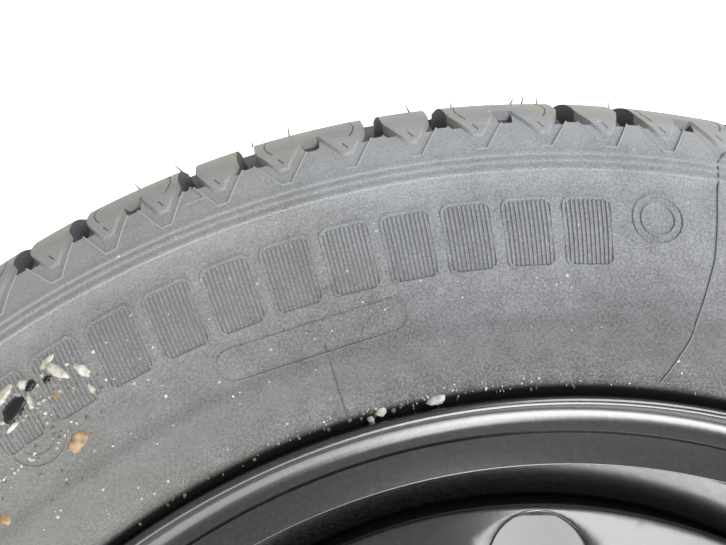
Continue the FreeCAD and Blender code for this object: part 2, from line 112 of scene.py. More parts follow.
# Tread pitches and shoulder teeth
LONG_PITCH = 11.4
LONG_COUNT = 20
SHORT_COUNT = 13
SHORT_PITCH = (360 - LONG_COUNT * LONG_PITCH) / SHORT_COUNT
TYRE_TURN = 87.4
STEP_TOP = 286.0
STEP_TOP_HALF = 1.6
STEP_FOOT = 277.3
STEP_FOOT_HALF = 1.6
LEG_TIP = 282.3
LEG_TIP_HALF = 1.4
NOTCH_TOP = 290.5
NOTCH_HALF = 2.4
NOTCH_DEPTH = 2.4
CHANNEL_DEPTH = 0.7
FLARE_DEPTH = 2.0
GROOVE_END_DEPTH = 3.0
GROOVE_LEAST_DEPTH = 0.5
GROOVE_START = 44.0
STEP_TOP_ACROSS = 78.4
STEP_TOP_NORMAL = (0.67, 0.74)
SPREAD_RUN = 4.0
# Tyre faces deeper than this take the darker rubber, as painted shade
DARK_DEPTH = 1.5
SLOT_HALF = 1.3
SLOT_DEPTH = 6.0
SLOT_SLANT = math.tan(math.radians(28))
SLOT_OUTER = 43.5
SLOT_INNER = 29.4
EDGE = 0.35

# Rows of the tyre's skin that no edge sets: across on the crown, radius on the shoulder and the wall
CROWN_ROW = 6.0
RIB_ROW = 25.0
SLOT_ROWS = (33.0, 37.0)
TREAD_ROW = 52.0
BLOCK_ROWS = (297.0, 295.8, 294.2, 292.4)
NOTCH_ROW = 288.4
STEP_ROW = 284.2
LEG_ROW = 280.0
BAND_ROWS = (264.0, 260.0, 256.0, 252.0, 248.0, 244.0, 240.0, 236.0, 232.5)
LOWER_ROWS = (226.0, 223.0, 220.0, 217.5, 215.0, 212.5, 210.5, 208.8, 207.4)

# Fine rings moulded on the sidewall, as radius and height
SIDE_RIBS = ((275.0, 0.5), (272.8, 0.4), (270.2, 0.5))
RIB_FOOT_HALF = 0.75
RIB_TOP_HALF = 0.35

# Band of the wall inside those rings, which lies a little lower
BAND_TOP = 268.4
BAND_FOOT = 229.6
BAND_DROP = 0.45
BAND_EDGE = 0.8

# Ridged blocks that stand where a tyre is marked: two runs on a side, angles in degrees
BLOCK_RUN_STARTS = (88.0, 268.0)
BLOCK_COUNT = 11
BLOCK_STEP = 3.62
BLOCK_ANGLE = 2.9
BLOCK_FOOT = 243.0
BLOCK_TOP = 261.5
BLOCK_CORNER = 2.2
BLOCK_LINE_HALF = 0.6
BLOCK_RIDGES = 10
RIDGE_HALF = 0.5

# Disc
DISC_SHEET = 3.5
SKIRT_RADIUS = 167.95
SKIRT_END = 16.0
HUB_BORE_RADIUS = 28.55
HUB_EDGE = 67.0
CROWN_END = 121.0
DISC_CORNERS = (
    (HUB_BORE_RADIUS, 43.5), (66.0, 43.5), (85.0, 65.5), (108.0, 67.0),
    (SKIRT_RADIUS, 50.0), (SKIRT_RADIUS, SKIRT_END),
)
FACE_ROUNDING = (8, 12, 40, 2.5)
BACK_ROUNDING = (11.5, 8.5, 36.5, 0.4)
ROUNDING_STEP = 3.0
ROW_GAP = 0.3
BOLT_COUNT = 5
BOLT_FIRST_ANGLE = 90.0
BOLT_RADIUS = 50.0
BOLT_HOLE_RADIUS = 7.6
BOLT_SEAT = ((7.6, 1.5), (9.0, 2.67), (10.4, 4.25), (11.76, 6.5), (14.5, 6.5))
BOLT_SEAT_FOOT = 16.0
BOLT_STEPS = (36, 8, 12)
VENT_COUNT = 15
VENT_CIRCLE_RADIUS = 149.0
VENT_RADIUS = 16.5
VENT_FIRST_ANGLE = 90.0
VENT_OUTER = 166.9
VENT_INNER_LIMIT = 163.9
VENT_BACK_OUTER = VENT_INNER_LIMIT + 0.4
VENT_STEPS = (16, 8, 12)

# Rounded edge of a vent hole: how far each step lies outside the hole and under the face
VENT_EDGE = ((0.0, 1.9), (0.2, 1.1), (0.5, 0.55), (0.9, 0.2), (1.4, 0.0))
VENT_EDGE_ROOM = 1.5

# Small marks and leftovers on the outer side: angle in degrees and radius
ROUND_MARK = (85.19, 256.5)
ROUND_MARK_SIZES = (6.8, 4.6)
LEFT_RINGS = (125.03, 244.2)
LEFT_RING_SIZES = (8.2, 5.4)
CORNER_MARK = ((111.1, 281.3), (111.75, 286.2), (112.4, 281.3))
SEAM = ((81.2, 275.7), (81.5, 264.1), (81.7, 247.1), (82.2, 234.8), (82.6, 225.3), (83.7, 213.1))
SEAM_END = (80.5, 280.0)
CUT = ((106.86, 232.4), (106.87, 212.0))
SLIT_TOP = 296.4
SLIT_LENGTH = 8.2
HAIR_RADIUS = 296.0
HAIR_HALF = 0.3
HAIR_ANGLES = (128.5, 125.5, 115.0, 112.3, 107.9, 105.6, 98.2, 95.6, 92.0, 91.3, 90.4, 85.9)

# Outline of a long pill on the wall: first angle, angle it spans, foot, top and corner
PILL = (101.3, 12.4, 231.0, 239.6, 4.2)

# Floor and sky
FLOOR_REACH = 80.0
FLOOR_TONE = 0.86
# The floor's glow near the axis and far out; the weaker glow near the axis is a painted shadow under the
# wheel
FLOOR_GLOW = (0.42, 1.0)
SKY_LIGHT = 0.32
SKY_SEEN = 0.6

# Camera, from the photo
SENSOR_WIDTH = 36
PHOTO_WIDTH = 726.0
FOCAL_PIXELS = 650.0
EYE = (-63.0, 232.4, 222.3)
FORWARD = (0.032, 0.0515, -0.998)


# Profiles, as points of radius and distance across

def unit(vector):
    length = math.hypot(*vector)
    return (vector[0] / length, vector[1] / length)


def crown_radius(across):
    """Radius of the tread's crown."""
    return TYRE_RADIUS - CROWN_CURVE + math.sqrt(CROWN_CURVE ** 2 - across ** 2)


def tangent_arc(start, heading, end):
    """Arc that leaves start along heading and reaches end: centre, radius and heading at the end."""
    chord = (end[0] - start[0], end[1] - start[1])
    normal = (-heading[1], heading[0])
    reach = (chord[0] ** 2 + chord[1] ** 2) / (2 * (chord[0] * normal[0] + chord[1] * normal[1]))
    centre = (start[0] + normal[0] * reach, start[1] + normal[1] * reach)
    along = unit(chord)
    twice = 2 * (heading[0] * along[0] + heading[1] * along[1])
    return centre, abs(reach), (twice * along[0] - heading[0], twice * along[1] - heading[1])


def wall_arcs():
    """Arcs of the tyre's side from the shoulder down, and the point where the tyre meets the rim."""
    leave = math.radians(FLANGE_LEAVE_ANGLE)
    end = (CURL_MIDDLE + FLANGE_CURL * math.sin(leave), FLANGE_WALL + FLANGE_CURL * (1 - math.cos(leave)))
    lean = math.asin(TREAD_EDGE / CROWN_CURVE)
    heading = (-math.sin(lean), math.cos(lean))
    start = (crown_radius(TREAD_EDGE), TREAD_EDGE)
    arcs = []
    for point in (SHOULDER_END, WIDEST, LOWER_WALL, end):
        centre, radius, heading = tangent_arc(start, heading, point)
        arcs.append((point[0], centre, radius))
        start = point
    return arcs, end


WALL_ARCS, FLANGE_MEET = wall_arcs()


def wall_point(radius):
    """Point of the tyre's side at a radius, with its outward normal."""
    for low, centre, curve in WALL_ARCS:
        if radius >= low - 0.001:
            rise = max(-1.0, min(1.0, (radius - centre[0]) / curve))
            run = math.sqrt(1 - rise * rise)
            return (radius, centre[1] + curve * run), (rise, run)
    raise ValueError(radius)


def wall_level(radius):
    """How far the wall lies from its plain curve: the band is lower."""
    top = (BAND_TOP + BAND_EDGE - radius) / BAND_EDGE
    foot = (radius - BAND_FOOT + BAND_EDGE) / BAND_EDGE
    return -BAND_DROP * max(0.0, min(1.0, top, foot))


def rounded(corners, radii, step=9.0):
    """Points along straight lines whose inner corners are rounded."""
    points = [corners[0]]
    for before, corner, after, radius in zip(corners, corners[1:], corners[2:], radii):
        back = unit((before[0] - corner[0], before[1] - corner[1]))
        onward = unit((after[0] - corner[0], after[1] - corner[1]))
        opening = math.acos(max(-1, min(1, back[0] * onward[0] + back[1] * onward[1])))
        inward = unit((back[0] + onward[0], back[1] + onward[1]))
        reach = radius / math.sin(opening / 2)
        centre = (corner[0] + inward[0] * reach, corner[1] + inward[1] * reach)
        sweep = math.pi - opening
        turn = math.copysign(1, back[0] * onward[1] - back[1] * onward[0])
        first = math.atan2(-inward[1], -inward[0]) + turn * sweep / 2
        count = max(2, math.ceil(math.degrees(sweep) / step))
        for i in range(count + 1):
            angle = first - turn * sweep * i / count
            points.append((centre[0] + radius * math.cos(angle), centre[1] + radius * math.sin(angle)))
    points.append(corners[-1])
    return points


def offset_corners(corners, distance):
    """The corners of the same run of straight lines, moved sideways by a distance."""
    headings = []
    for before, after in zip(corners, corners[1:]):
        headings.append(unit((after[0] - before[0], after[1] - before[1])))
    moved = []
    for corner, into, out in zip(corners, headings[:1] + headings, headings + headings[-1:]):
        middle = unit((-into[1] - out[1], into[0] + out[0]))
        reach = distance / (middle[1] * out[0] - middle[0] * out[1])
        moved.append((corner[0] + middle[0] * reach, corner[1] + middle[1] * reach))
    return moved


# Mesh helpers

def link_object(name, data):
    thing = bpy.data.objects.new(name, data)
    bpy.context.collection.objects.link(thing)
    return thing


def make_object(name, points, faces, material, sharp=35.0):
    """A mesh object in the wheel's frame, from points in millimetres."""
    mesh = bpy.data.meshes.new(name)
    mesh.from_pydata([(x * MM, y * MM, z * MM) for x, y, z in points], [], faces)
    mesh.validate()
    mesh.polygons.foreach_set("use_smooth", [True] * len(mesh.polygons))
    mesh.set_sharp_from_angle(angle=math.radians(sharp))
    mesh.materials.append(material)
    return link_object(name, mesh)


def on_wheel(angle, radius, across):
    """Point at an angle in radians round the axis."""
    return (radius * math.cos(angle), radius * math.sin(angle), RIM_MIDDLE + across)


def lathe(name, profile, material, count=420, sharp=35.0):
    """Turn a closed profile about the wheel's axis."""
    size = len(profile)
    points = []
    for i in range(count):
        angle = 2 * math.pi * i / count
        points += [on_wheel(angle, radius, across) for radius, across in profile]
    faces = []
    for i in range(count):
        here = i * size
        there = (i + 1) % count * size
        for j in range(size):
            k = (j + 1) % size
            faces.append((here + j, there + j, there + k, here + k))
    return make_object(name, points, faces, material, sharp)


# Materials

def new_material(name):
    """A material, its tree of nodes, its shader, and the place of the shaded point in the wheel's frame."""
    material = bpy.data.materials.new(name)
    material.use_nodes = True
    tree = material.node_tree
    place = tree.nodes.new("ShaderNodeTexCoord").outputs["Object"]
    return material, tree, tree.nodes["Principled BSDF"], place


def set_inputs(tree, node, inputs):
    """Give each input of a node its value, or link it to the output of another node."""
    for name, value in inputs.items():
        if isinstance(value, bpy.types.NodeSocket):
            tree.links.new(value, node.inputs[name])
        else:
            node.inputs[name].default_value = value


def add_node(tree, kind, inputs, **settings):
    """A new node. Its settings come first, because they decide which inputs it has."""
    node = tree.nodes.new("ShaderNode" + kind)
    for name, value in settings.items():
        setattr(node, name, value)
    set_inputs(tree, node, inputs)
    return node


def radius_from_axis(tree, place):
    """Distance of the shaded point from the wheel's axis, in metres."""
    flat = add_node(tree, "VectorMath", {0: place, 1: (1, 1, 0)}, operation="MULTIPLY")
    return add_node(tree, "VectorMath", {0: flat.outputs["Vector"]}, operation="LENGTH").outputs["Value"]


def add_noise(tree, place, scale, detail):
    return add_node(tree, "TexNoise", {"Vector": place, "Scale": scale, "Detail": detail}).outputs["Fac"]


def add_range(tree, source, low, high, bottom, top):
    """Value that runs from bottom to top while the source runs from low to high."""
    inputs = dict(enumerate((source, low, high, bottom, top)))
    return add_node(tree, "MapRange", inputs).outputs[0]


def add_math(tree, operation, first, second):
    return add_node(tree, "Math", {0: first, 1: second}, operation=operation).outputs[0]


def add_ramp(tree, source, dark, pale, low=0.0, high=1.0):
    """Colour that runs from dark to pale while the source runs from low to high."""
    ramp = add_node(tree, "ValToRGB", {"Fac": source})
    for index, place, color in ((0, low, dark), (1, high, pale)):
        element = ramp.color_ramp.elements[index]
        element.position = place
        element.color = (*color, 1)
    return ramp.outputs["Color"]


def add_layer(tree, under, color, share):
    """A colour laid over another one by a share."""
    inputs = {"Factor": share, "A": under, "B": (*color, 1)}
    return add_node(tree, "Mix", inputs, data_type="RGBA").outputs["Result"]


def add_bump(tree, height, distance):
    inputs = {"Strength": 1.0, "Distance": distance, "Height": height}
    return add_node(tree, "Bump", inputs).outputs["Normal"]


def seen_by_camera(tree):
    """1 for what the camera sees, straight or in a reflection, and 0 for light that falls on the wheel."""
    path = tree.nodes.new("ShaderNodeLightPath")
    return add_math(tree, "MAXIMUM", path.outputs["Is Camera Ray"], path.outputs["Is Glossy Ray"])


def rubber_material():
    """Dusty grey tyre rubber, as layers over a tone that gets paler outwards, partly with dust and partly as
    a painted sheen towards the shoulder.
    """
    material, tree, shader, place = new_material("tyre_rubber")
    radius = radius_from_axis(tree, place)
    # Tone that gets paler outwards: partly dust, partly a painted sheen towards the shoulder
    tone = add_range(tree, radius, 0.208, 0.285, 0.0, 0.82)
    cloud = add_range(tree, add_noise(tree, place, 30, 10), 0.3, 0.7, 0.0, 0.22)
    mottle = add_range(tree, add_noise(tree, place, 170, 5), 0.3, 0.7, -0.08, 0.08)
    grain = add_range(tree, add_noise(tree, place, 1800, 3), 0.3, 0.7, -0.26, 0.26)
    clouds = add_math(tree, "ADD", add_math(tree, "ADD", cloud, mottle), grain)
    color = add_ramp(tree, add_math(tree, "ADD", tone, clouds), RUBBER_DARK, RUBBER_PALE)

    # Tread blocks
    color = add_layer(tree, color, BLOCK_TONE, add_range(tree, radius, 0.2865, 0.2895, 0.0, 0.45))

    # Painted shade: a darker ring low on the wall
    inner = add_range(tree, radius, 0.213, 0.221, 0.0, 1.0)
    outer = add_range(tree, radius, 0.224, 0.248, 0.5, 0.0)
    color = add_layer(tree, color, RUBBER_DEEP, add_math(tree, "MULTIPLY", inner, outer))

    # Tan dust in patches on the shoulder, and the worn tread
    shoulder = add_range(tree, radius, 0.28, 0.294, 0.0, 0.9)
    patches = add_range(tree, add_noise(tree, place, 75, 8), 0.4, 0.68, 0.0, 1.0)
    color = add_layer(tree, color, TAN_DUST, add_math(tree, "MULTIPLY", shoulder, patches))
    color = add_layer(tree, color, TREAD_TONE, add_range(tree, radius, 0.2955, 0.299, 0.0, 0.7))

    # Warm dust towards the left
    parts = add_node(tree, "SeparateXYZ", {"Vector": place})
    left = add_range(tree, parts.outputs["X"], -0.04, -0.16, 0.0, 0.36)
    color = add_layer(tree, color, WARM_DUST, left)

    # White specks
    cells = add_node(tree, "TexVoronoi", {"Vector": place, "Scale": 260})
    dots = add_range(tree, cells.outputs["Distance"], 0.07, 0.13, 1.0, 0.0)
    chosen = add_node(tree, "SeparateColor", {"Color": cells.outputs["Color"]})
    few = add_range(tree, chosen.outputs["Red"], 0.8, 0.97, 0.0, 0.8)
    color = add_layer(tree, color, WHITE_DUST, add_math(tree, "MULTIPLY", dots, few))

    # Shadowed rubber in the gap at the rim
    color = add_layer(tree, color, RUBBER_BLACK, add_range(tree, radius, 0.2118, 0.2104, 0.0, 1.0))
    skin = add_bump(tree, add_noise(tree, place, 620, 6), 0.00022)
    surface = {"Base Color": color, "Normal": skin, "Roughness": 0.6, "Specular IOR Level": 0.35}
    set_inputs(tree, shader, surface)
    return material


def paint_material():
    """Black paint with a soft shine, thin dust and a fine orange-peel skin."""
    material, tree, shader, place = new_material("black_paint")
    color = add_ramp(tree, add_noise(tree, place, 900, 6), PAINT_BLACK, PAINT_DUST, 0.45, 0.8)
    skin = add_bump(tree, add_noise(tree, place, 350, 3), 0.00003)
    set_inputs(tree, shader, {"Base Color": color, "Normal": skin, "Roughness": 0.22, "IOR": 1.9})
    return material


def lump_material(name, dark, pale):
    """Dry dirt with a patchy colour."""
    material, tree, shader, place = new_material(name)
    color = add_ramp(tree, add_noise(tree, place, 420, 5), dark, pale, 0.35, 0.65)
    set_inputs(tree, shader, {"Base Color": color, "Roughness": 0.8})
    return material


def plain_material(name, color, roughness, metallic=0.0, shine=0.5):
    """One even colour."""
    material = bpy.data.materials.new(name)
    material.use_nodes = True
    tree = material.node_tree
    surface = {"Roughness": roughness, "Metallic": metallic, "Specular IOR Level": shine}
    set_inputs(tree, tree.nodes["Principled BSDF"], {"Base Color": (*color, 1), **surface})
    return material


def even_rubber_material(name, color):
    """Rubber of one even tone, for painted shade in grooves, slits and block floors, painted highlights on
    the step's edges, and the mould seam and hairs.
    """
    return plain_material(name, color, 0.7, shine=0.2)


# Ends of the rubber's tone; its paler end is partly dust and partly a painted sheen
RUBBER_DARK = (0.066, 0.067, 0.069)
RUBBER_PALE = (0.425, 0.434, 0.448)
# Darker rubber for the mould seam and for painted shade on the block floors
RUBBER_SOFT = (0.25, 0.253, 0.258)
# Pale rubber for painted highlights on the step's edges
RUBBER_EDGE_HIGHLIGHT = (0.5, 0.505, 0.51)
# Darker rubber: painted shade in the grooves, slits and low on the wall, and the hairs' own colour
RUBBER_DEEP = (0.11, 0.111, 0.114)
RUBBER_BLACK = (0.012, 0.012, 0.012)
BLOCK_TONE = (0.24, 0.235, 0.225)
TREAD_TONE = (0.13, 0.128, 0.123)
PAINT_BLACK = (0.008, 0.008, 0.0085)
PAINT_DUST = (0.03, 0.029, 0.027)
TAN_DUST = (0.42, 0.37, 0.29)
WARM_DUST = (0.322, 0.305, 0.248)
WHITE_DUST = (0.8, 0.8, 0.78)

RUBBER = rubber_material()
DARK_RUBBER = even_rubber_material("dark_rubber", RUBBER_DEEP)
SOFT_RUBBER = even_rubber_material("soft_rubber", RUBBER_SOFT)
PALE_RUBBER = even_rubber_material("pale_rubber", RUBBER_EDGE_HIGHLIGHT)
PAINT = paint_material()
CHALK = lump_material("chalk", (0.45, 0.45, 0.42), (0.85, 0.85, 0.82))
CREAM = lump_material("cream", (0.42, 0.38, 0.3), (0.84, 0.81, 0.72))
TAN = lump_material("tan", (0.12, 0.085, 0.045), (0.36, 0.27, 0.16))
LEAF = lump_material("leaf", (0.28, 0.17, 0.085), (0.58, 0.43, 0.27))
TAR = plain_material("tar", (0.012, 0.012, 0.013), 0.3)
BLACK_RUBBER = plain_material("valve_rubber", (0.02, 0.02, 0.021), 0.6)
BRASS = plain_material("brass", (0.55, 0.42, 0.2), 0.35, 1.0)
SEAL = plain_material("seal_rubber", (0.03, 0.03, 0.03), 0.5)
STEEL = plain_material("spring_steel", (0.5, 0.5, 0.5), 0.3, 1.0)
PLASTIC = plain_material("cap_plastic", (0.02, 0.02, 0.02), 0.5)


# Tyre: rings of points, fine where the blocks are and coarse elsewhere

def pitches():
    """Middle angle and length of each pitch, in degrees, going round with the angle."""
    total = LONG_COUNT + SHORT_COUNT
    angle = TYRE_TURN
    found = []
    for i in range(total):
        long = (i + 1) * LONG_COUNT // total > i * LONG_COUNT // total
        pitch = LONG_PITCH if long else SHORT_PITCH
        found.append((angle - pitch / 2, pitch))
        angle -= pitch
    return found[::-1]


def groove_floor(point, normal):
    """Depth of the lateral groove under a point of the shoulder."""
    start = (crown_radius(GROOVE_START) - GROOVE_DEPTH, GROOVE_START)
    end = (
        STEP_TOP - GROOVE_END_DEPTH * STEP_TOP_NORMAL[0],
        STEP_TOP_ACROSS - GROOVE_END_DEPTH * STEP_TOP_NORMAL[1],
    )
    along = (end[0] - start[0], end[1] - start[1])
    across = normal[0] * along[1] - normal[1] * along[0]
    gap = (point[0] - start[0], point[1] - start[1])
    return max(GROOVE_LEAST_DEPTH, (gap[0] * along[1] - gap[1] * along[0]) / across)


def mix(low, high, share):
    """Value at a share of the way from low to high."""
    share = max(0.0, min(1.0, share))
    return low + (high - low) * share


def even_columns(width):
    """Six places, evenly spaced."""
    return [0.0] + [width * i / 5 for i in range(1, 5)] + [width]


def tooth_columns(row, width, gap):
    """Places from the gap's middle to the leg's middle, and heights, on a row of the shoulder."""
    radius = row["point"][0]
    flat = [0] * 6
    if row["zone"] == "rib":
        if gap == "groove_inner" and SLOT_INNER < row["point"][1] < SLOT_OUTER:
            middle = width / 2
            places = [0.0, middle - SLOT_HALF - EDGE, middle - SLOT_HALF + EDGE]
            places += [middle + SLOT_HALF - EDGE, middle + SLOT_HALF + EDGE, width]
            return places, [0, 0, -SLOT_DEPTH, -SLOT_DEPTH, 0, 0]
        return even_columns(width), flat
    if row["zone"] == "plain":
        return even_columns(width), flat
    share = (radius - STEP_FOOT) / (STEP_TOP - STEP_FOOT)
    step = mix(width - STEP_FOOT_HALF, STEP_TOP_HALF, share)
    if radius > STEP_TOP:
        step = mix(STEP_TOP_HALF, NOTCH_HALF, (radius - STEP_TOP) / (NOTCH_TOP - STEP_TOP))
    leg = width - mix(LEG_TIP_HALF, width - NOTCH_HALF, (radius - LEG_TIP) / (NOTCH_TOP - LEG_TIP))
    places = [0.0, step - EDGE, step + EDGE, leg - EDGE, leg + EDGE, width]
    if radius > NOTCH_TOP:
        spread = mix(0.0, 1.0, (radius - NOTCH_TOP) / SPREAD_RUN)
        places[3] = mix(places[2], mix(places[2], width, 0.4), spread)
        places[4] = mix(places[2] + EDGE, mix(places[2], width, 0.7), spread)
    places[3] = max(places[3], places[2])
    places[4] = max(places[4], places[3] + EDGE)
    deep = groove_floor(row["point"], row["normal"]) if gap != "notch" else NOTCH_DEPTH
    channel = CHANNEL_DEPTH
    if radius < STEP_FOOT:
        return places, flat
    if radius < LEG_TIP:
        return places, [0, 0, -channel, -channel, -channel, -channel]
    if radius < STEP_TOP:
        return places, [0, 0, -channel, -channel, 0, 0]
    if radius < NOTCH_TOP:
        flare = channel if gap == "notch" else max(channel, FLARE_DEPTH)
        return places, [-deep, -deep, -flare, -flare, 0, 0]
    if gap == "notch":
        return places, flat
    return places, [-deep, -deep, 0, 0, 0, 0]


def tyre_row(point, normal, zone, lift=0.0):
    """One row of the tyre's skin: point, outward normal, zone and height over the plain curve."""
    return {"point": point, "normal": normal, "zone": zone, "lift": lift}


def shoulder_rows():
    """Rows of one half of the tyre, from the crown to the flange."""
    rows = []

    def crown(across, zone):
        lean = math.asin(across / CROWN_CURVE)
        rows.append(tyre_row((crown_radius(across), across), (math.cos(lean), math.sin(lean)), zone))

    def floor(groove):
        for across in (groove[0] + GROOVE_DRAFT, groove[1] - GROOVE_DRAFT):
            rows.append(tyre_row((crown_radius(across) - GROOVE_DEPTH, across), (1.0, 0.0), "plain"))

    def side(radius, zone, lift=0.0):
        rows.append(tyre_row(*wall_point(radius), zone, lift))

    for across in (CROWN_ROW, GROOVES[0][0]):
        crown(across, "plain")
    floor(GROOVES[0])
    for across in (GROOVES[0][1], RIB_ROW, SLOT_INNER - EDGE, SLOT_INNER + EDGE, *SLOT_ROWS, GROOVES[1][0]):
        crown(across, "rib")
    floor(GROOVES[1])
    for across in (GROOVES[1][1], TREAD_ROW, TREAD_EDGE):
        crown(across, "tooth")
    for radius in (
        *BLOCK_ROWS, NOTCH_TOP + EDGE, NOTCH_TOP - EDGE, NOTCH_ROW, STEP_TOP + EDGE, STEP_TOP - EDGE,
        STEP_ROW, LEG_TIP + EDGE, LEG_TIP - EDGE, LEG_ROW, STEP_FOOT + EDGE, STEP_FOOT - EDGE,
    ):
        side(radius, "tooth")
    for radius, height in SIDE_RIBS:
        side(radius + RIB_FOOT_HALF, "wall")
        side(radius + RIB_TOP_HALF, "wall", height)
        side(radius - RIB_TOP_HALF, "wall", height)
        side(radius - RIB_FOOT_HALF, "wall")
    band = (BAND_TOP + BAND_EDGE, BAND_TOP, *BAND_ROWS, BAND_FOOT, BAND_FOOT - BAND_EDGE)
    for radius in (*band, *LOWER_ROWS, FLANGE_MEET[0]):
        side(radius, "wall", wall_level(radius))
    return rows


def bead_rows():
    """Rows of the bead and half of the liner, from the flange to the middle of the liner."""
    heel = (BEAD_SEAT_RADIUS, FLANGE_WALL)
    toe = (BEAD_SEAT_RADIUS - TOE_DROP, TOE_ACROSS)
    run = rounded([(CURL_MIDDLE, FLANGE_WALL), heel, toe, LINER_FOOT], [FLANGE_ROOT, TOE_ROUND], 30)
    return [tyre_row(point, (1.0, 0.0), "wall") for point in run + list(LINER)]


def slot_shear(across):
    """How far the columns lean with the slanted slots, in millimetres."""
    return (SLOT_OUTER - max(SLOT_INNER, min(SLOT_OUTER, abs(across)))) * SLOT_SLANT


def tyre_ring(row, side, found):
    """Points of one row all round the tyre, and how far each lies from the plain curve."""
    ring = []
    depths = []
    radius = row["point"][0]
    lift = row["lift"]
    shear = slot_shear(row["point"][1]) / radius if row["zone"] in ("plain", "rib") else 0.0
    for middle, pitch in found:
        half = math.radians(pitch / 6)
        width = half * radius
        for unit_index, gap_index in enumerate((-1, -1, 0, 0, 1, 1)):
            gap_angle = math.radians(middle + gap_index * pitch / 3) + shear
            rising = unit_index % 2 == 0
            kind = "notch" if gap_index == 0 else "groove"

            # The slanted slots lie on the sides of the grooves that look to the pitch's middle
            if (unit_index, gap_index) in ((1, -1), (4, 1)):
                kind = "groove_inner"
            if row["zone"] == "wall":
                places, heights = [0.0, width], [lift, lift]
            else:
                places, heights = tooth_columns(row, width, kind)
            columns = list(zip(places, heights))
            chosen = columns[:0:-1] if rising else columns[:-1]
            for place, height in chosen:
                angle = gap_angle + (-place if rising else place) / radius
                point = row["point"]
                normal = row["normal"]
                across = side * (point[1] + normal[1] * height)
                ring.append(on_wheel(angle, point[0] + normal[0] * height, across))
                depths.append(height)
    return ring, depths


def make_tyre():
    """One closed skin: crown, shoulders, walls, beads and liner."""
    found = pitches()
    outer = shoulder_rows()
    bead = bead_rows()
    crown = tyre_row((TYRE_RADIUS, 0.0), (1.0, 0.0), "plain")
    order = [(crown, 1)] + [(row, 1) for row in outer + bead]
    order += [(row, -1) for row in (outer + bead[:-1])[::-1]]
    points = []
    depths = []
    starts = []
    for row, side in order:
        ring, ring_depths = tyre_ring(row, side, found)
        starts.append((len(points), len(ring)))
        points += ring
        depths += ring_depths
    faces = []
    for index, (start, size) in enumerate(starts):
        next_start, next_size = starts[(index + 1) % len(starts)]
        cells = min(size, next_size)
        here_step = size // cells
        there_step = next_size // cells
        for cell in range(cells):
            here = [start + (cell * here_step + k) % size for k in range(here_step + 1)]
            there = [next_start + (cell * there_step + k) % next_size for k in range(there_step + 1)]
            faces.append(tuple(here + there[::-1]))
    skin = make_object("tyre_detail", points, [face[::-1] for face in faces], RUBBER, 32)
    skin.data.materials.append(DARK_RUBBER)
    # Faces deeper than DARK_DEPTH take the darker rubber: painted shade in the grooves, notches and slots
    for polygon in skin.data.polygons:
        if sum(depths[index] for index in polygon.vertices) / len(polygon.vertices) < -DARK_DEPTH:
            polygon.material_index = 1
    return skin


# Rim

def rim_profile():
    """Closed profile of the rolled rim."""
    def seat(across):
        return BEAD_SEAT_RADIUS - (FLANGE_WALL - across) * SEAT_TAPER

    hump = seat(HUMP_MIDDLE) + HUMP_RISE
    corners = [
        (TIP_RADIUS, FLANGE_TIP), (CURL_CORNER, FLANGE_WALL), (BEAD_SEAT_RADIUS, FLANGE_WALL),
        (seat(SEAT_END), SEAT_END), (hump, HUMP_MIDDLE), (BEAD_SEAT_RADIUS - HUMP_DROP, HUMP_END),
        (WELL_RADIUS, WELL_OUTER), (WELL_RADIUS, WELL_INNER), *INNER_SLOPE,
        (hump, -HUMP_MIDDLE), (seat(SEAT_END), -SEAT_END),
        (BEAD_SEAT_RADIUS, -FLANGE_WALL), (CURL_CORNER, -FLANGE_WALL), (TIP_RADIUS, -FLANGE_TIP),
    ]
    radii = [FLANGE_CURL, FLANGE_ROOT, *RIM_ROUNDING, FLANGE_ROOT, FLANGE_CURL]
    tyre_side = rounded(corners, radii)
    open_radii = [OPEN_CURL, OPEN_ROOT, *RIM_ROUNDING, FLANGE_ROOT + RIM_SHEET, FLANGE_CURL - RIM_SHEET]
    open_side = rounded(offset_corners(corners, -RIM_SHEET), open_radii)
    creased = []
    wall = FLANGE_WALL + RIM_SHEET
    for before, point in zip([open_side[0]] + open_side, open_side):
        if before[0] > CREASE_RADIUS >= point[0] and point[1] > 0:
            creased.append((CREASE_RADIUS + CREASE_HALF, wall))
            creased.append((CREASE_RADIUS, wall - CREASE_DEPTH))
            creased.append((CREASE_RADIUS - CREASE_HALF, wall))
        creased.append(point)
    outline = creased[::-1] + tyre_side
    lip = []
    for side, turns in ((1, range(180, -1, -20)), (-1, range(0, 181, 20))):
        arc = []
        for turn in turns:
            angle = math.radians(turn)
            across = side * (FLANGE_TIP - LIP_ROUND + LIP_ROUND * math.sin(angle))
            arc.append((TIP_RADIUS - RIM_SHEET / 2 + RIM_SHEET / 2 * math.cos(angle), across))
        lip.append(arc)
    return outline[1:len(creased) - 1] + lip[0] + outline[len(creased) + 1:-1] + lip[1]


# Marks on the tyre's outer side: angles in degrees, radius and height in millimetres

def wall_place(angle, radius, height):
    """Point over the wall's own surface."""
    point, normal = wall_point(radius)
    lift = wall_level(radius) + height
    return on_wheel(math.radians(angle), point[0] + normal[0] * lift, point[1] + normal[1] * lift)


def finer_route(route, longest=3.0):
    """The same route with points put in between, so that no step is longer than a few millimetres."""
    finer = [route[0]]
    for start, end in zip(route, route[1:]):
        length = math.hypot(math.radians(end[0] - start[0]) * start[1], end[1] - start[1])
        count = math.ceil(length / longest)
        for i in range(1, count + 1):
            finer.append((mix(start[0], end[0], i / count), mix(start[1], end[1], i / count)))
    return finer


class Parts:
    """Many small parts that share one mesh."""

    def __init__(self):
        self.points = []
        self.faces = []

    def finish(self, name, material, sharp=25):
        return make_object(name, self.points, self.faces, material, sharp)


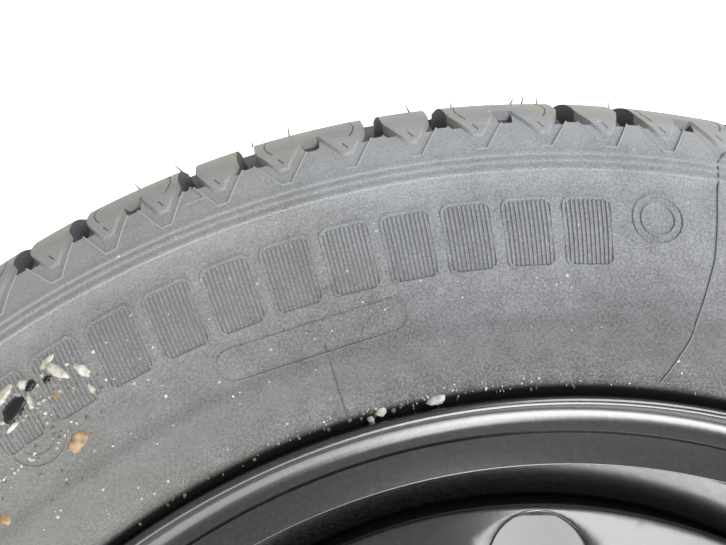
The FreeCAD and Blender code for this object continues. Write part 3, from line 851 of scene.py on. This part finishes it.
class Lines(Parts):
    """Narrow raised lines."""

    def add(self, route, half, height, sink=0.3, closed=False):
        """One line along a route of angle and radius, with enough points to follow the wall."""
        if not closed:
            route = finer_route(route)
        first = len(self.points)
        last = len(route) - 1
        for i, (angle, radius) in enumerate(route):
            before = route[i - 1] if i or closed else route[0]
            after = route[(i + 1) % len(route)] if i < last or closed else route[last]
            along = unit((math.radians(after[0] - before[0]) * radius, after[1] - before[1]))
            for reach, lift in ((-1.0, -sink), (-0.5, height), (0.5, height), (1.0, -sink)):
                turned = angle - math.degrees(along[1] * half * reach / radius)
                self.points.append(wall_place(turned, radius + along[0] * half * reach, lift))
        for i in range(len(route) if closed else last):
            here = first + 4 * i
            there = first + 4 * ((i + 1) % len(route))
            for j in range(3):
                self.faces.append((here + j, there + j, there + j + 1, here + j + 1))
        if not closed:
            self.faces.append((first, first + 1, first + 2, first + 3))
            end = first + 4 * last
            self.faces.append((end + 3, end + 2, end + 1, end))


def box_route(start, angle, foot, top, corner):
    """Closed route round a block with rounded corners."""
    route = []
    middle = (foot + top) / 2
    wide = math.degrees(corner / middle)
    for angle_middle, radius_middle, first in (
        (start + angle - wide, top - corner, 0), (start + wide, top - corner, 90),
        (start + wide, foot + corner, 180), (start + angle - wide, foot + corner, 270),
    ):
        for i in range(5):
            turn = math.radians(first + 22.5 * i)
            route.append((angle_middle + wide * math.cos(turn), radius_middle + corner * math.sin(turn)))
    return route


def ring_route(angle, radius, size, count=40):
    """Closed round route."""
    wide = math.degrees(size / radius)
    turns = [2 * math.pi * i / count for i in range(count)]
    return [(angle + wide * math.cos(turn), radius + size * math.sin(turn)) for turn in turns]


def block_starts():
    """First angle of each block."""
    return [run + BLOCK_STEP * i for run in BLOCK_RUN_STARTS for i in range(BLOCK_COUNT)]


def add_blocks(lines):
    """Runs of ridged blocks."""
    foot = BLOCK_FOOT + BLOCK_LINE_HALF
    top = BLOCK_TOP - BLOCK_LINE_HALF
    for start in block_starts():
        border = box_route(start, BLOCK_ANGLE, BLOCK_FOOT, BLOCK_TOP, BLOCK_CORNER)
        lines.add(border, BLOCK_LINE_HALF, BAND_DROP, closed=True)
        for j in range(BLOCK_RIDGES):
            angle = start + BLOCK_ANGLE * (j + 1.0) / (BLOCK_RIDGES + 1)
            lines.add([(angle, foot), (angle, top)], RIDGE_HALF, BAND_DROP * 0.85)


def make_marks():
    """Raised marks of the mould: ridged blocks, rings, a long pill outline and a corner mark."""
    lines = Lines()
    add_blocks(lines)
    for size in ROUND_MARK_SIZES:
        lines.add(ring_route(*ROUND_MARK, size), 0.5, BAND_DROP * 0.9, closed=True)
    for size in LEFT_RING_SIZES:
        lines.add(ring_route(*LEFT_RINGS, size), 0.6, BAND_DROP * 0.5, closed=True)
    lines.add(box_route(*PILL), 0.45, 0.2, closed=True)
    lines.add(CORNER_MARK, 0.5, 0.35, closed=True)
    return lines.finish("wall_marks", RUBBER)


def make_soft_lines():
    """Lines a little darker than the wall: painted shade on the block floors between the ridges, and the
    mould seam.
    """
    lines = Lines()
    wide = math.radians(BLOCK_ANGLE / 2) * (BLOCK_FOOT + BLOCK_TOP)
    for start in block_starts():
        middle = start + BLOCK_ANGLE / 2
        route = [(middle, BLOCK_FOOT + 0.4), (middle, BLOCK_TOP - 0.4)]
        lines.add(route, wide / 2 - 0.3, 0.06, sink=0.02)
    lines.add(SEAM, 0.3, 0.4)
    lines.add([SEAM[0], SEAM_END], 0.3, 0.4)
    return lines.finish("soft_lines", SOFT_RUBBER)


def make_pale_lines():
    """Painted highlights on the edges of the zigzag step."""
    lines = Lines()
    top = math.degrees(STEP_TOP_HALF / STEP_TOP)
    for middle, pitch in pitches():
        foot = pitch / 6 - math.degrees(STEP_FOOT_HALF / STEP_FOOT)
        far = pitch / 3 - foot
        for gap in (-1, 0, 1):
            place = middle + gap * pitch / 3
            rising = [(place - foot, STEP_FOOT), (place - top, STEP_TOP)]
            falling = [(place + top, STEP_TOP), (place + foot, STEP_FOOT), (place + far, STEP_FOOT)]
            for route in (rising, falling):
                lines.add(route, 0.3, 0.1, sink=0.2)
    return lines.finish("pale_lines", PALE_RUBBER)


def make_slits():
    """Dark raised lines that paint the shade of a thin cut, of curved slits at the ends of the large blocks,
    and of nicks in the legs.
    """
    lines = Lines()
    lines.add(CUT, 0.3, 0.2)
    for middle, pitch in pitches():
        for end in (-1, 1):
            route = []
            for i in range(6):
                share = i / 5
                bow = 0.2 + 0.035 * math.sin(math.pi * share)
                route.append((middle + end * pitch * bow, SLIT_TOP - SLIT_LENGTH * share))
            lines.add(route, 0.28, 0.05, sink=0.1)
        for leg in (-1, 1, 3):
            place = middle + leg * pitch / 6
            lines.add([(place - 0.12, LEG_TIP + 1.6), (place + 0.12, LEG_TIP + 3.6)], 0.3, 0.05, sink=0.1)
    return lines.finish("dark_lines", DARK_RUBBER)


def make_hairs():
    """Short rubber hairs left by the vents of the mould."""
    chance = random.Random(4)
    points = []
    faces = []
    for angle in HAIR_ANGLES:
        foot = wall_place(angle, HAIR_RADIUS, -0.2)
        turn = math.radians(angle)
        lean = Vector((math.cos(turn), math.sin(turn), chance.uniform(0.1, 0.9)))
        lean += Vector((chance.uniform(-0.6, 0.6), chance.uniform(-0.3, 0.3), 0))
        tip = Vector(foot) + lean.normalized() * chance.uniform(2.5, 5.5)
        first = len(points)
        for around in (0, math.radians(120), math.radians(240)):
            x = foot[0] + HAIR_HALF * math.cos(around)
            points.append((x, foot[1] + HAIR_HALF * math.sin(around), foot[2]))
        points.append(tuple(tip))
        for corners in ((0, 1, 3), (1, 2, 3), (2, 0, 3), (2, 1, 0)):
            faces.append(tuple(first + corner for corner in corners))
    return make_object("mould_hairs", points, faces, DARK_RUBBER, 180)


class Lumps(Parts):
    """Small uneven lumps."""

    def __init__(self, seed):
        super().__init__()
        self.chance = random.Random(seed)

    def add(self, angle, radius, wide, tall, height, turn=0.0):
        """One lump, as a low dome with an uneven edge."""
        first = len(self.points)
        around = 14
        top_limit = cad_box[1][2] / MM - 0.05
        edge = [self.chance.uniform(0.7, 1.0) for _ in range(around)]
        lean = math.radians(turn)
        for reach, rise in ((1.0, -0.3), (0.92, 0.45), (0.6, 0.9), (0.25, 1.0)):
            for i in range(around):
                spin = 2 * math.pi * i / around
                east = wide / 2 * reach * edge[i] * math.cos(spin)
                north = tall / 2 * reach * edge[i] * math.sin(spin)
                sideways = east * math.cos(lean) - north * math.sin(lean)
                outward = east * math.sin(lean) + north * math.cos(lean)
                lift = height * rise * self.chance.uniform(0.75, 1.1) if rise > 0 else rise
                x, y, z = wall_place(angle - math.degrees(sideways / radius), radius + outward, lift)
                self.points.append((x, y, min(z, top_limit)))
        for ring in range(3):
            for i in range(around):
                here = first + ring * around
                j = (i + 1) % around
                self.faces.append((here + j, here + i, here + around + i, here + around + j))
        self.faces.append(tuple(first + 3 * around + i for i in range(around))[::-1])
        self.faces.append(tuple(first + i for i in range(around)))

    def scatter(self, angle, radius, spread, count, low, high, height):
        """Crumbs strewn about a place: spread along and across in millimetres."""
        for _ in range(count):
            along = self.chance.gauss(0, spread[0])
            outward = max(-2.2 * spread[1], min(2.2 * spread[1], self.chance.gauss(0, spread[1])))
            size = self.chance.uniform(low, high)
            tall = size * self.chance.uniform(0.5, 1.0)
            rise = height * self.chance.uniform(0.5, 1.0)
            turn = self.chance.uniform(0, 180)
            self.add(angle + math.degrees(along / radius), radius + outward, size, tall, rise, turn)


# White lumps in the gap at the rim, dry crust, tar and leaf bits at the left, crumbs on the wall: name,
# material, seed, lumps as Lumps.add takes them and crumbs as Lumps.scatter takes them
DIRT = (
    (
        "dirt_chalk", CHALK, 3,
        (
            (100.25, 210.6, 6.6, 2.4, 1.6, 8), (104.45, 210.6, 3.6, 2.2, 1.4, 10),
            (105.3, 209.2, 2.6, 2.0, 1.2),
        ),
        (
            (96.0, 211.5, (34.0, 1.2), 64, 0.3, 0.9, 0.4), (96.0, 236.0, (48.0, 11.0), 34, 0.3, 0.75, 0.25),
            (91.5, 238.0, (3.2, 1.6), 10, 0.3, 0.7, 0.15), (122.0, 238.0, (22.0, 12.0), 46, 0.35, 0.9, 0.3),
        ),
    ),
    (
        "dirt_cream", CREAM, 5,
        (
            (125.5, 257.4, 8.0, 3.0, 1.0, 20), (124.3, 257.0, 3.0, 3.4, 1.0, 40),
            (124.35, 252.3, 1.6, 5.5, 0.8, -12), (125.9, 249.2, 5.0, 1.5, 0.8, 8),
            (122.2, 255.3, 3.4, 9.0, 1.0, 32), (122.5, 258.6, 6.0, 2.4, 0.8, 20),
            (120.9, 252.0, 3.0, 6.5, 0.9, 30), (120.9, 246.5, 1.9, 4.6, 0.5, 5),
        ),
        ((123.8, 252.0, (10.0, 4.0), 60, 0.5, 1.8, 0.6), (126.0, 240.0, (12.0, 1.6), 30, 0.4, 1.2, 0.4)),
    ),
    (
        "dirt_tan", TAN, 8, (),
        ((108.0, 210.6, (38.0, 0.7), 40, 0.6, 1.7, 0.8), (124.0, 246.0, (12.0, 8.0), 60, 0.4, 1.5, 0.45)),
    ),
    (
        "dirt_leaf", LEAF, 9,
        (
            (123.2, 236.8, 8.0, 5.0, 0.4, 25), (129.5, 231.8, 3.0, 4.4, 0.4, 10),
            (122.9, 250.0, 2.0, 3.4, 0.5, -20),
        ),
        (),
    ),
    (
        "dirt_tar", TAR, 11,
        (
            (125.35, 252.6, 9.5, 6.0, 1.0, 15), (123.9, 255.6, 4.0, 3.0, 0.9, 30),
            (122.9, 254.6, 3.0, 2.0, 0.9, 10),
        ),
        (),
    ),
)


def make_dirt():
    """One piece for each kind of dirt."""
    pieces = []
    for name, material, seed, lumps, crumbs in DIRT:
        pile = Lumps(seed)
        for lump in lumps:
            pile.add(*lump)
        for crumb in crumbs:
            pile.scatter(*crumb)
        pieces.append(pile.finish(name, material, 60))
    return pieces


# Disc: nets of faces round the vent holes and the bolt holes, joined by turned rows

# Keeps equal places from falling on both sides of a rounding limit
KEY_SHIFT = 0.00023


class Net(Parts):
    """Faces that share their points by place."""

    def __init__(self):
        super().__init__()
        self.known = {}

    def point(self, place):
        """Number of the point at a place."""
        key = tuple(round(value + KEY_SHIFT, 3) for value in place)
        if key not in self.known:
            self.known[key] = len(self.points)
            self.points.append(place)
        return self.known[key]

    def join(self, loops):
        """Faces between closed loops, each with as many places."""
        for first, second in zip(loops, loops[1:]):
            here = [self.point(place) for place in first]
            there = [self.point(place) for place in second]
            for i in range(len(here)):
                j = (i + 1) % len(here)
                corners = []
                for index in (here[i], here[j], there[j], there[i]):
                    if index not in corners:
                        corners.append(index)
                if len(corners) > 2:
                    self.faces.append(tuple(corners))


def height_over(run):
    """Function that gives a profile's distance across at a radius."""
    def height(radius):
        for before, after in zip(run, run[1:]):
            if before[0] <= radius <= after[0] and after[0] > before[0]:
                return mix(before[1], after[1], (radius - before[0]) / (after[0] - before[0]))
        return run[0][1] if radius < run[0][0] else run[-1][1]
    return height


def sector_border(half, inner, outer, counts):
    """Border of a sector about the X axis, as flat places in order."""
    steps = [(outer, mix(-half, half, i / counts[0])) for i in range(counts[0])]
    steps += [(mix(outer, inner, i / counts[1]), half) for i in range(counts[1])]
    steps += [(inner, mix(half, -half, i / counts[2])) for i in range(counts[2])]
    steps += [(mix(inner, outer, i / counts[1]), -half) for i in range(counts[1])]
    border = []
    for radius, angle in steps:
        turn = math.radians(angle)
        border.append((radius * math.cos(turn), radius * math.sin(turn)))
    return border


def hole_ring(border, centre, radius, limit=math.inf):
    """Flat places round a hole, seen from its centre towards the border, within a limit from the axis."""
    ring = []
    for x, y in border:
        reach = math.hypot(x - centre, y)
        size = min(radius, reach)
        place = (centre + (x - centre) / reach * size, y / reach * size)
        shrink = min(1.0, limit / math.hypot(*place))
        ring.append((place[0] * shrink, place[1] * shrink))
    return ring


def vent_edge(border, widen):
    """Flat places round a vent hole that is widened where the border leaves room."""
    ring = []
    for x, y in border:
        reach = math.hypot(x - VENT_CIRCLE_RADIUS, y)
        size = VENT_RADIUS + min(widen, (reach - VENT_RADIUS) * widen / VENT_EDGE_ROOM)
        east = (x - VENT_CIRCLE_RADIUS) / reach * size
        ring.append((VENT_CIRCLE_RADIUS + east, y / reach * size))
    return ring


def raised(ring, turn, height):
    """Flat places turned about the axis and put at their height."""
    cosine = math.cos(math.radians(turn))
    sine = math.sin(math.radians(turn))
    loop = []
    for x, y in ring:
        across = height(math.hypot(x, y)) if callable(height) else height
        loop.append((x * cosine - y * sine, x * sine + y * cosine, RIM_MIDDLE + across))
    return loop


def turned_loop(angles, radius, across, twist=0.0):
    """Places at angles in degrees round the axis."""
    return [on_wheel(math.radians(angle + twist), radius, across) for angle in angles]


def join_vents(net, outer, inner):
    """Nets round the vent holes, from the inboard skin through the hole to the outboard skin."""
    half = 180 / VENT_COUNT
    border = sector_border(half, CROWN_END, VENT_OUTER, VENT_STEPS)
    under = sector_border(half, CROWN_END, VENT_BACK_OUTER, VENT_STEPS)
    back = hole_ring(border, VENT_CIRCLE_RADIUS, VENT_RADIUS, VENT_INNER_LIMIT)
    lip = hole_ring(border, VENT_CIRCLE_RADIUS, VENT_RADIUS + VENT_EDGE[-1][0])
    for i in range(VENT_COUNT):
        turn = VENT_FIRST_ANGLE + 2 * half * i
        loops = [raised(under, turn, inner), raised(back, turn, inner)]
        for widen, drop in VENT_EDGE:
            loops.append(raised(vent_edge(border, widen), turn, lambda radius: outer(radius) - drop))
        for share in (0.35, 0.7):
            ring = [(mix(u, x, share), mix(v, y, share)) for (x, y), (u, v) in zip(border, lip)]
            loops.append(raised(ring, turn, outer))
        loops.append(raised(border, turn, outer))
        net.join(loops)


def join_bolts(net, outer, inner):
    """Nets round the bolt holes, with their raised ball seats."""
    half = 180 / BOLT_COUNT
    border = sector_border(half, HUB_BORE_RADIUS, HUB_EDGE, BOLT_STEPS)
    for i in range(BOLT_COUNT):
        turn = BOLT_FIRST_ANGLE + 2 * half * i
        hole = hole_ring(border, BOLT_RADIUS, BOLT_HOLE_RADIUS)
        loops = [raised(border, turn, inner), raised(hole, turn, inner)]
        for radius, rise in BOLT_SEAT:
            loops.append(raised(hole_ring(border, BOLT_RADIUS, radius), turn, -RIM_MIDDLE + rise))
        loops.append(raised(hole_ring(border, BOLT_RADIUS, BOLT_SEAT_FOOT), turn, outer))
        loops.append(raised(border, turn, outer))
        net.join(loops)
    bore = []
    for i in range(BOLT_COUNT):
        for j in range(BOLT_STEPS[2]):
            bore.append(half * (1 - 2 * j / BOLT_STEPS[2]) + BOLT_FIRST_ANGLE - 2 * half * i)
    net.join([turned_loop(bore, HUB_BORE_RADIUS, skin(HUB_BORE_RADIUS)) for skin in (inner, outer)])


def make_disc():
    """Pressed disc with its bolt seats, crown, vent holes and skirt."""
    run = rounded(DISC_CORNERS, FACE_ROUNDING, ROUNDING_STEP)
    back = rounded(offset_corners(DISC_CORNERS, -DISC_SHEET), BACK_ROUNDING, ROUNDING_STEP)
    outer = height_over(run)
    inner = height_over(back)
    net = Net()
    join_vents(net, outer, inner)
    join_bolts(net, outer, inner)
    half = 180 / VENT_COUNT
    rim_angles = []
    for i in range(VENT_COUNT):
        for j in range(VENT_STEPS[0]):
            rim_angles.append(VENT_FIRST_ANGLE + 2 * half * i + half * (2 * j / VENT_STEPS[0] - 1))
    skirt = [(VENT_OUTER, outer(VENT_OUTER))]
    skirt += [place for place in run if place[0] > VENT_OUTER + 0.05]
    skirt.append((SKIRT_RADIUS - DISC_SHEET, SKIRT_END))
    skirt += [place for place in back[::-1] if place[0] > VENT_BACK_OUTER + 0.02 and place[1] > SKIRT_END + 1]
    skirt.append((VENT_BACK_OUTER, inner(VENT_BACK_OUTER)))
    net.join([turned_loop(rim_angles, *place) for place in skirt])
    step = 2 * half / VENT_STEPS[2]
    ring_angles = [VENT_FIRST_ANGLE - half + step * i for i in range(VENT_COUNT * VENT_STEPS[2])]
    slip = (BOLT_FIRST_ANGLE - 180 / BOLT_COUNT - ring_angles[0]) % step
    slip = slip - step if slip > step / 2 else slip
    for height, line in ((outer, run), (inner, back)):
        radii = [place[0] for place in line[::-1] if HUB_EDGE + ROW_GAP < place[0] < CROWN_END - ROW_GAP]
        loops = []
        for radius in (CROWN_END, *radii, HUB_EDGE):
            twist = slip * (CROWN_END - radius) / (CROWN_END - HUB_EDGE)
            loops.append(turned_loop(ring_angles, radius, height(radius), twist))
        net.join(loops)
    disc = net.finish("disc_detail", PAINT, 40)
    work = bmesh.new()
    work.from_mesh(disc.data)
    bmesh.ops.recalc_face_normals(work, faces=work.faces)
    work.to_mesh(disc.data)
    work.free()
    return disc


tyre = make_tyre()
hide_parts("tyre")
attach(tyre, "wheel")

rim = lathe("rim_detail", rim_profile(), PAINT, 420, 40)
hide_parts("rim")
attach(rim, "wheel")

disc = make_disc()
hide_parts("disc")
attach(disc, "wheel")

for piece in [make_marks(), make_soft_lines(), make_pale_lines(), make_slits(), make_hairs()] + make_dirt():
    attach(piece, "wheel")

NODE_MATERIALS = {
    "disc_welds": PAINT, "valve_body": BLACK_RUBBER, "valve_stem": BRASS, "core_housing": BRASS,
    "core_gasket": SEAL, "core_pin": BRASS, "core_seal": SEAL, "core_spring": STEEL, "valve_cap": PLASTIC,
    "cap_seal": SEAL,
}
for name, material in NODE_MATERIALS.items():
    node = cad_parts[name]
    node.data.materials.clear()
    node.data.materials.append(material)


def make_spring():
    """Spring of the valve core: a copy with a mesh of its own, shown in place of the part's spring."""
    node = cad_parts["core_spring"]
    spring = link_object("spring_coil", node.data.copy())
    spring.matrix_world = node.matrix_world.copy()
    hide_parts("core_spring")
    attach(spring, "wheel")
    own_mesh(spring)


make_spring()


# Floor, light and camera

def make_floor():
    """Pale floor under the tyre, which the camera sees as white, less bright near the axis as a painted
    shadow under the wheel.
    """
    low = cad_box[0][2]
    corners = [(x * FLOOR_REACH, y * FLOOR_REACH, low) for x, y in ((-1, -1), (1, -1), (1, 1), (-1, 1))]
    mesh = bpy.data.meshes.new("floor")
    mesh.from_pydata(corners, [], [(0, 1, 2, 3)])
    floor = link_object("floor", mesh)
    material, tree, shader, place = new_material("floor")
    set_inputs(tree, shader, {"Base Color": (FLOOR_TONE, FLOOR_TONE, FLOOR_TONE, 1), "Roughness": 0.9})
    # Glow is weaker near the wheel's axis: a painted shadow under the wheel
    far = add_range(tree, radius_from_axis(tree, place), 0.2, 0.32, *FLOOR_GLOW)
    glow = add_node(tree, "Emission", {"Color": (1, 1, 1, 1), "Strength": far}).outputs["Emission"]
    none = add_node(tree, "BsdfTransparent", {"Color": (0, 0, 0, 1)}).outputs["BSDF"]
    shown = add_node(tree, "MixShader", {0: seen_by_camera(tree), 1: none, 2: glow})
    both = add_node(tree, "AddShader", {0: shader.outputs["BSDF"], 1: shown.outputs["Shader"]})
    set_inputs(tree, tree.nodes["Material Output"], {"Surface": both.outputs["Shader"]})
    mesh.materials.append(material)


def add_light(name, place, target, size, power):
    """Soft light of a width and height, which looks at a target."""
    lamp = bpy.data.lights.new(name, "AREA")
    lamp.shape = "RECTANGLE"
    lamp.size = size[0]
    lamp.size_y = size[1]
    lamp.energy = power
    thing = link_object(name, lamp)
    thing.location = place
    thing.rotation_euler = (Vector(target) - Vector(place)).to_track_quat("-Z", "Y").to_euler()
    thing.visible_camera = False


def make_light():
    """Dim sky that looks paler than the light it gives, and three soft lights."""
    world = bpy.context.scene.world or bpy.data.worlds.new("world")
    bpy.context.scene.world = world
    world.use_nodes = True
    tree = world.node_tree
    shade = tree.nodes["Background"]
    set_inputs(tree, shade, {"Color": (0.9, 0.95, 1.0, 1), "Strength": SKY_LIGHT})
    pale = add_node(tree, "Background", {"Strength": SKY_SEEN}).outputs["Background"]
    shown = add_node(tree, "MixShader", {0: seen_by_camera(tree), 1: shade.outputs["Background"], 2: pale})
    set_inputs(tree, tree.nodes["World Output"], {"Surface": shown.outputs["Shader"]})
    add_light("overhead", (1.0, 0.84, 1.68), (1.0, 0.84, 0), (1.24, 1.3), 34)
    add_light("far_card", (0.66, -1.45, 1.45), (0.0, 0.2, 0.04), (0.46, 2.2), 28)
    add_light("low_card", (-0.1, -2.0, 1.05), (0.0, 0.2, 0.04), (2.6, 1.9), 38)


def make_camera():
    """Camera at the place from which the photo was taken."""
    data = bpy.data.cameras.new("camera")
    data.sensor_width = SENSOR_WIDTH
    data.lens = SENSOR_WIDTH * FOCAL_PIXELS / PHOTO_WIDTH
    data.clip_start = 0.005
    camera = link_object("camera", data)
    camera.location = Vector(EYE) * MM
    back = -Vector(FORWARD).normalized()
    right = Vector((0, 1, 0)).cross(back).normalized()
    up = back.cross(right)
    camera.rotation_euler = Matrix((right, up, back)).transposed().to_euler()
    bpy.context.scene.camera = camera


make_floor()
make_light()
make_camera()
bpy.context.scene.view_settings.view_transform = "Standard"
